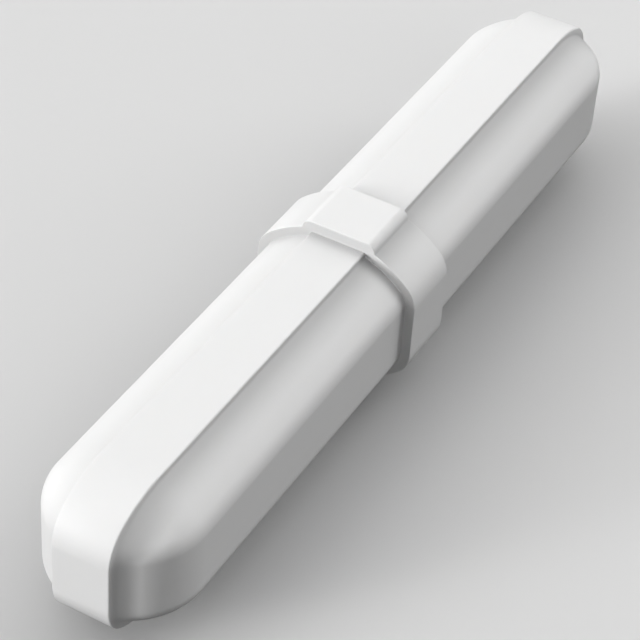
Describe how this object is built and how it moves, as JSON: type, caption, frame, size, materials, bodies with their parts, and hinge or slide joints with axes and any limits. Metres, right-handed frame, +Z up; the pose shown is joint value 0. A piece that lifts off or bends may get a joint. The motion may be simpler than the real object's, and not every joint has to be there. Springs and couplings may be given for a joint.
{
  "type": "magnetic stir bar",
  "caption": "White moulded magnetic stir bar: octagonal body with round ends, a raised band along it and a pivot ring at its middle, closed round a rod magnet.",
  "frame": {"origin": "middle of the pivot ring's flat underside, the point that the bar stands on and spins about", "axes": "+X along the bar, +Z up from the surface it stands on, the axis it spins about in use"},
  "size_m": [0.05, 0.0092, 0.0092],
  "materials": {
    "jacket": "satin, waxy",
    "magnet": "ground"
  },
  "bodies": {
    "root": {"jacket": "jacket", "magnet": "magnet"}
  },
  "joints": []
}
